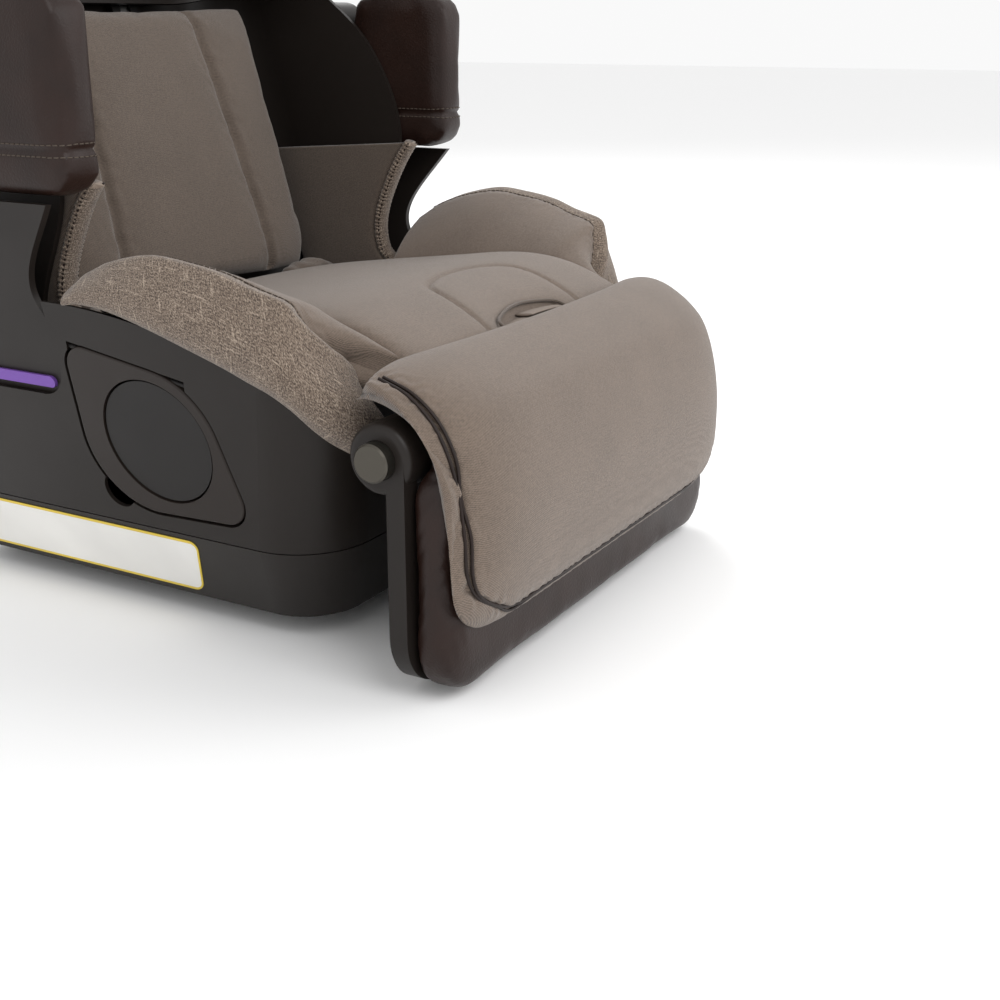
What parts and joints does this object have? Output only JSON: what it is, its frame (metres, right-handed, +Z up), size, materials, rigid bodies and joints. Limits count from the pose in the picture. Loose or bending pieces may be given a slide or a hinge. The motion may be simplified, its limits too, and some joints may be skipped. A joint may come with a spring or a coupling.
{
  "type": "child car seat",
  "caption": "High-back child car seat with padded bolsters, torso wings, sliding headrest, fold-out cup holders and a hinged calf support.",
  "frame": {"origin": "on the floor, on the plane of symmetry, in the middle of the centre foot", "axes": "+Z up, the child faces -Y, the child's left is +X"},
  "size_m": [0.4676, 0.5524, 0.6263],
  "materials": {
    "shell_plastic": "satin moulded",
    "cup_plastic": "fine texture",
    "disc_plastic": "fine texture",
    "inner_plastic": "moulded",
    "foot_rubber": "matt",
    "steel": "zinc plated",
    "cap_metal": "gunmetal anodised",
    "belt_purple": "satin",
    "button_red": "satin",
    "knit_fabric": "fine rib knit",
    "linen_fabric": "slub melange weave",
    "leatherette": "fine grain",
    "strap_webbing": "woven",
    "label_film": "film"
  },
  "bodies": {
    "seat": {"base_tub": "shell_plastic", "base_sole": "inner_plastic", "rubber_feet": "foot_rubber", "recline_pin": "steel", "seat_shell": "shell_plastic", "seat_pan": "inner_plastic", "cup_hinge_pins_right": "steel", "cup_hinge_pins_left": "steel", "side_frame_right": "shell_plastic", "side_frame_left": "shell_plastic", "belt_guide_right": "belt_purple", "belt_guide_left": "belt_purple", "backrest_shell": "shell_plastic", "rear_deck": "shell_plastic", "rear_cover": "cup_plastic", "back_cushion": "knit_fabric", "back_insert": "knit_fabric", "side_pad_right": "knit_fabric", "side_pad_left": "knit_fabric", "wing_frame_right": "shell_plastic", "wing_frame_left": "shell_plastic", "wing_pad_right": "leatherette", "wing_pad_left": "leatherette", "seat_cushion": "knit_fabric", "cushion_insert": "knit_fabric", "crotch_strap": "strap_webbing", "bolster_cover_right": "linen_fabric", "bolster_cover_left": "linen_fabric", "front_roll": "knit_fabric", "calf_shaft": "steel", "calf_brackets": "inner_plastic", "rail_guides": "inner_plastic", "anchor_guides": "inner_plastic", "care_label": "label_film", "cover_screws": "steel", "frame_screws": "steel"},
    "calf_support": {"calf_frame": "shell_plastic", "calf_pad": "leatherette", "calf_panel": "inner_plastic", "calf_flap": "knit_fabric", "button_spring_right": "steel", "button_spring_left": "steel"},
    "calf_button_right": {"calf_button_right": "cap_metal"},
    "calf_button_left": {"calf_button_left": "cap_metal"},
    "cup_ring_right": {"cup_ring_right": "cup_plastic"},
    "cup_ring_left": {"cup_ring_left": "cup_plastic"},
    "cup_shelf_right": {"cup_shelf_right": "disc_plastic"},
    "cup_shelf_left": {"cup_shelf_left": "disc_plastic"},
    "headrest": {"headrest_rails": "steel", "headrest_shell": "shell_plastic", "lever_pin": "steel", "head_pad": "knit_fabric", "head_wing_pad_right": "leatherette", "head_wing_pad_left": "leatherette"},
    "height_lever": {"height_lever": "shell_plastic"},
    "recline_foot": {"recline_foot": "inner_plastic"},
    "anchor_arm_right": {"anchor_arm_right": "steel"},
    "anchor_arm_left": {"anchor_arm_left": "steel"},
    "anchor_button_right": {"anchor_button_right": "button_red"},
    "anchor_button_left": {"anchor_button_left": "button_red"}
  },
  "joints": [
    {"name": "calf_swing", "type": "hinge", "parent": "seat", "child": "calf_support", "pos_m": [0, -0.226, 0.1555], "axis": [-1, 0, 0], "range_deg": [0, 75]},
    {"name": "calf_button_right_press", "type": "slide", "parent": "calf_support", "child": "calf_button_right", "axis": [1, 0, 0], "range_m": [0, 0.004], "stiffness_N_per_m": 900, "springref_m": -0.001},
    {"name": "calf_button_left_press", "type": "slide", "parent": "calf_support", "child": "calf_button_left", "axis": [-1, 0, 0], "range_m": [0, 0.004], "stiffness_N_per_m": 900, "springref_m": -0.001},
    {"name": "cup_ring_right_swing", "type": "hinge", "parent": "seat", "child": "cup_ring_right", "pos_m": [-0.21076, -0.05975, 0.18824], "axis": [-0.0397, 0.9843, 0.1719], "range_deg": [0, 103]},
    {"name": "cup_shelf_right_swing", "type": "hinge", "parent": "seat", "child": "cup_shelf_right", "pos_m": [-0.18454, -0.04429, 0.1058], "axis": [0.0397, -0.9843, -0.1719], "range_deg": [0, 77]},
    {"name": "cup_ring_left_swing", "type": "hinge", "parent": "seat", "child": "cup_ring_left", "pos_m": [0.21076, -0.05975, 0.18824], "axis": [-0.0397, -0.9843, -0.1719], "range_deg": [0, 103]},
    {"name": "cup_shelf_left_swing", "type": "hinge", "parent": "seat", "child": "cup_shelf_left", "pos_m": [0.18454, -0.04429, 0.1058], "axis": [0.0397, 0.9843, 0.1719], "range_deg": [0, 77]},
    {"name": "headrest_slide", "type": "slide", "parent": "seat", "child": "headrest", "axis": [0, 0.2924, 0.9563], "range_m": [0, 0.15]},
    {"name": "height_lever_pull", "type": "hinge", "parent": "headrest", "child": "height_lever", "pos_m": [0, 0.25768, 0.58278], "axis": [1, 0, 0], "range_deg": [0, 22], "stiffness_Nm_per_rad": 0.15, "springref_deg": -5.73},
    {"name": "recline_foot_swing", "type": "hinge", "parent": "seat", "child": "recline_foot", "pos_m": [0, -0.024, 0.007], "axis": [1, 0, 0], "range_deg": [0, 90]},
    {"name": "anchor_arm_right_slide", "type": "slide", "parent": "seat", "child": "anchor_arm_right", "axis": [0, 1, 0], "range_m": [0, 0.04]},
    {"name": "anchor_button_right_press", "type": "slide", "parent": "anchor_arm_right", "child": "anchor_button_right", "axis": [0, 0, -1], "range_m": [0, 0.004], "stiffness_N_per_m": 400, "springref_m": -0.001},
    {"name": "anchor_arm_left_slide", "type": "slide", "parent": "seat", "child": "anchor_arm_left", "axis": [0, 1, 0], "range_m": [0, 0.04]},
    {"name": "anchor_button_left_press", "type": "slide", "parent": "anchor_arm_left", "child": "anchor_button_left", "axis": [0, 0, -1], "range_m": [0, 0.004], "stiffness_N_per_m": 400, "springref_m": -0.001}
  ],
  "couplings": [
    {"joint": "cup_shelf_right_swing", "follows": "cup_ring_right_swing", "ratio": 0.74757},
    {"joint": "cup_shelf_left_swing", "follows": "cup_ring_left_swing", "ratio": 0.74757}
  ]
}
